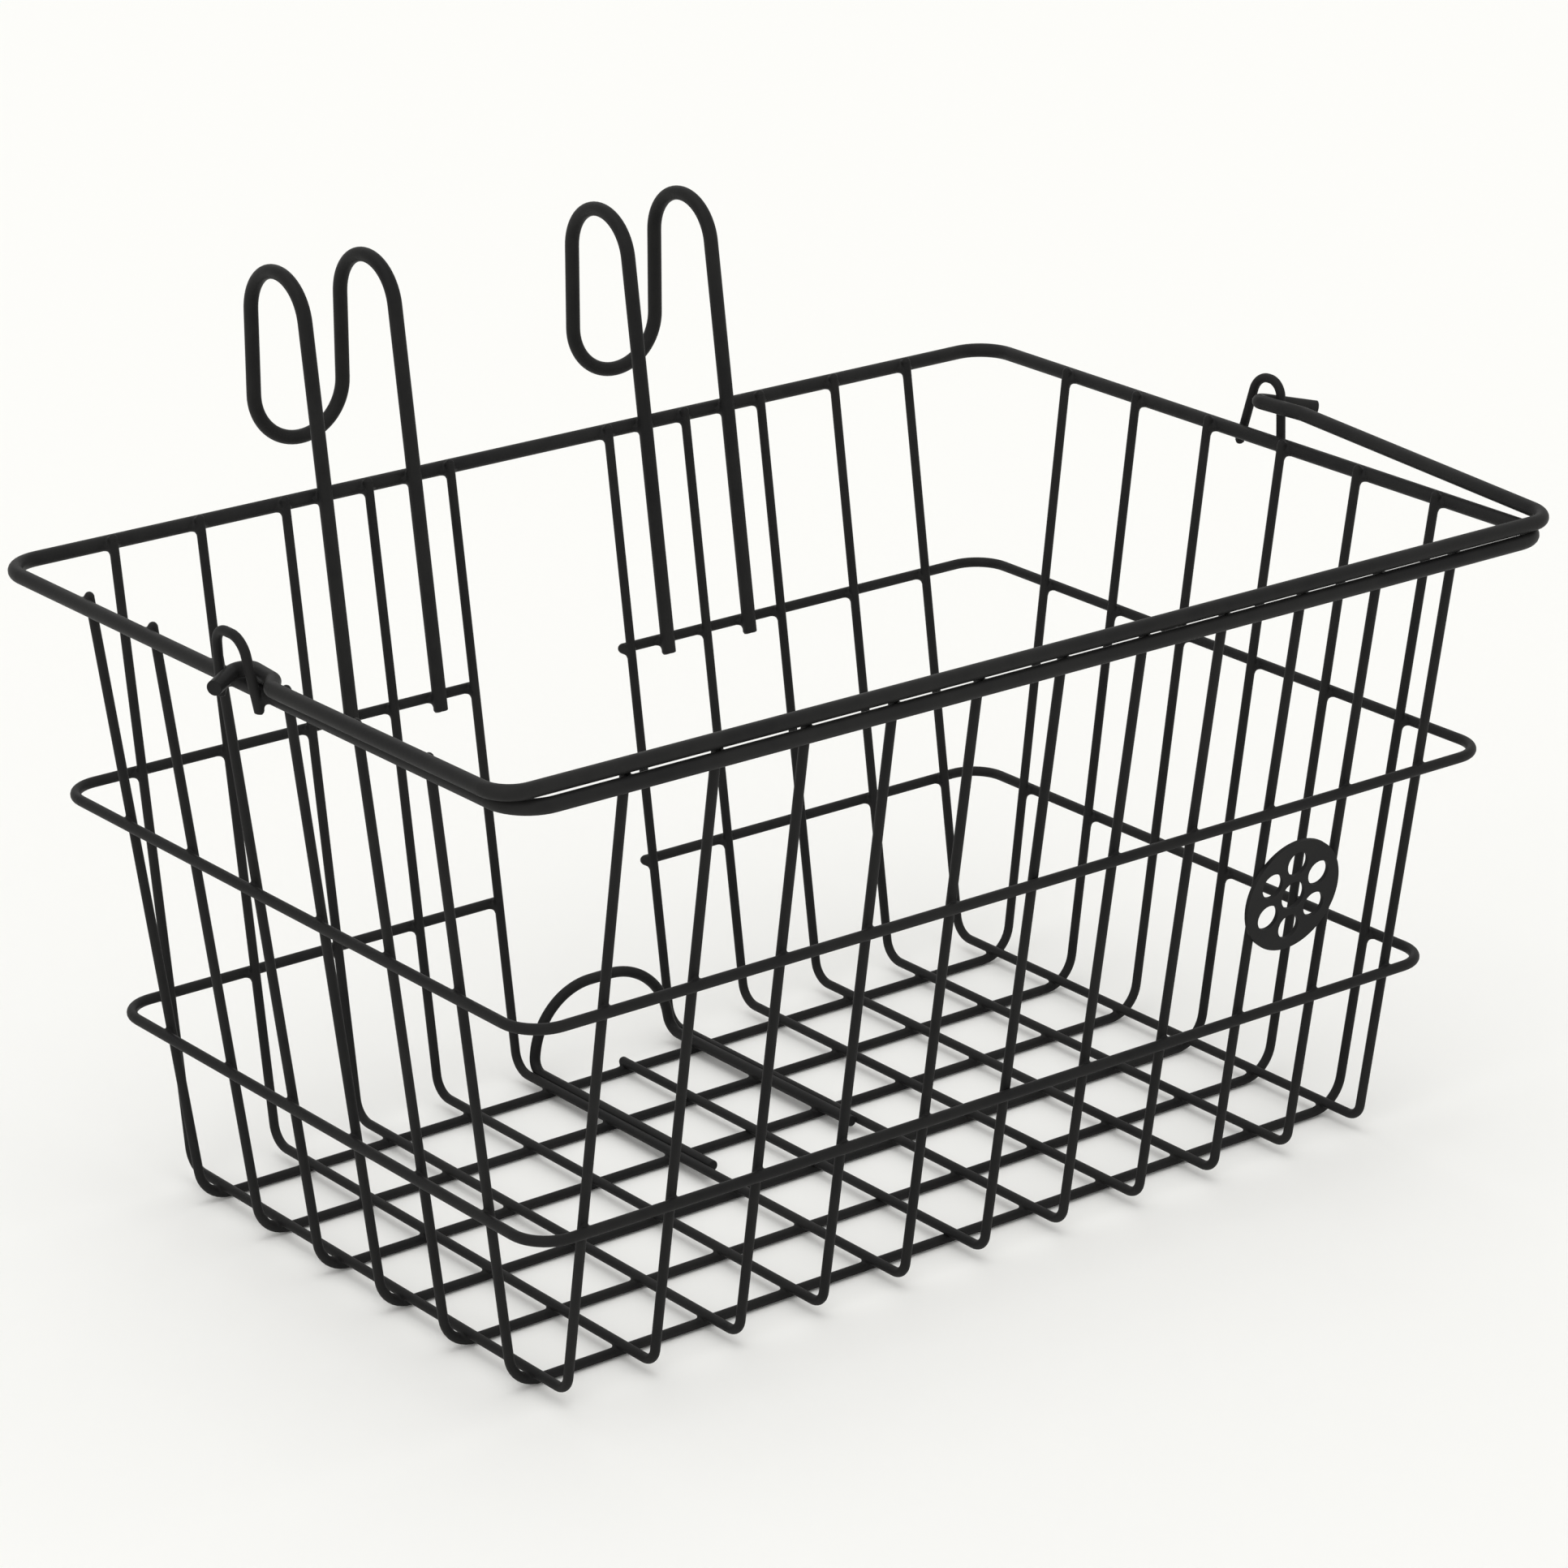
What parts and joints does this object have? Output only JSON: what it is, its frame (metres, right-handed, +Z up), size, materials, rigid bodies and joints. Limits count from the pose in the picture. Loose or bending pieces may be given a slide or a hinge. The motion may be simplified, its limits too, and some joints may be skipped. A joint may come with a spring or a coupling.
{
  "type": "handlebar basket",
  "caption": "Open wire basket for a bicycle: leaning walls, wire floor, hooks behind that hang on a handlebar, an arch for the head tube and a carry handle that swings over.",
  "frame": {"origin": "centre of the bounding box in plan, at the height that the basket stands on, which lies 16 mm behind the middle of the floor", "axes": "+X to the right seen from the front wall, -Y towards the front wall, +Y towards the hooks, +Z up"},
  "size_m": [0.3802, 0.2748, 0.2429],
  "materials": {
    "rim_wire": "satin black powder coat",
    "ring_wire": "satin black powder coat",
    "mesh_wire": "satin black powder coat",
    "hook_wire": "satin black powder coat",
    "ear_wire": "satin black powder coat",
    "arch_wire": "satin black powder coat",
    "handle_wire": "satin black powder coat",
    "badge_plate": "satin black powder coat"
  },
  "bodies": {
    "basket": {"top_rim": "rim_wire", "upper_ring": "ring_wire", "lower_ring": "ring_wire", "depth_wire_01": "mesh_wire", "depth_wire_02": "mesh_wire", "depth_wire_03": "mesh_wire", "depth_wire_04": "mesh_wire", "depth_wire_05": "mesh_wire", "depth_wire_06": "mesh_wire", "depth_wire_07": "mesh_wire", "depth_wire_08": "mesh_wire", "depth_wire_09": "mesh_wire", "depth_wire_10": "mesh_wire", "depth_wire_11": "mesh_wire", "width_wire_1": "mesh_wire", "width_wire_2": "mesh_wire", "width_wire_3": "mesh_wire", "width_wire_4": "mesh_wire", "width_wire_5": "mesh_wire", "width_wire_6": "mesh_wire", "hook_left": "hook_wire", "hook_right": "hook_wire", "ear_left": "ear_wire", "ear_right": "ear_wire", "head_tube_arch": "arch_wire", "badge": "badge_plate"},
    "handle": {"carry_handle": "handle_wire"}
  },
  "joints": [
    {"name": "handle_swing", "type": "hinge", "parent": "basket", "child": "handle", "pos_m": [0.00038, -0.01736, 0.18709], "axis": [-0.9999, 0.0034, -0.0158], "range_deg": [0, 168]}
  ]
}
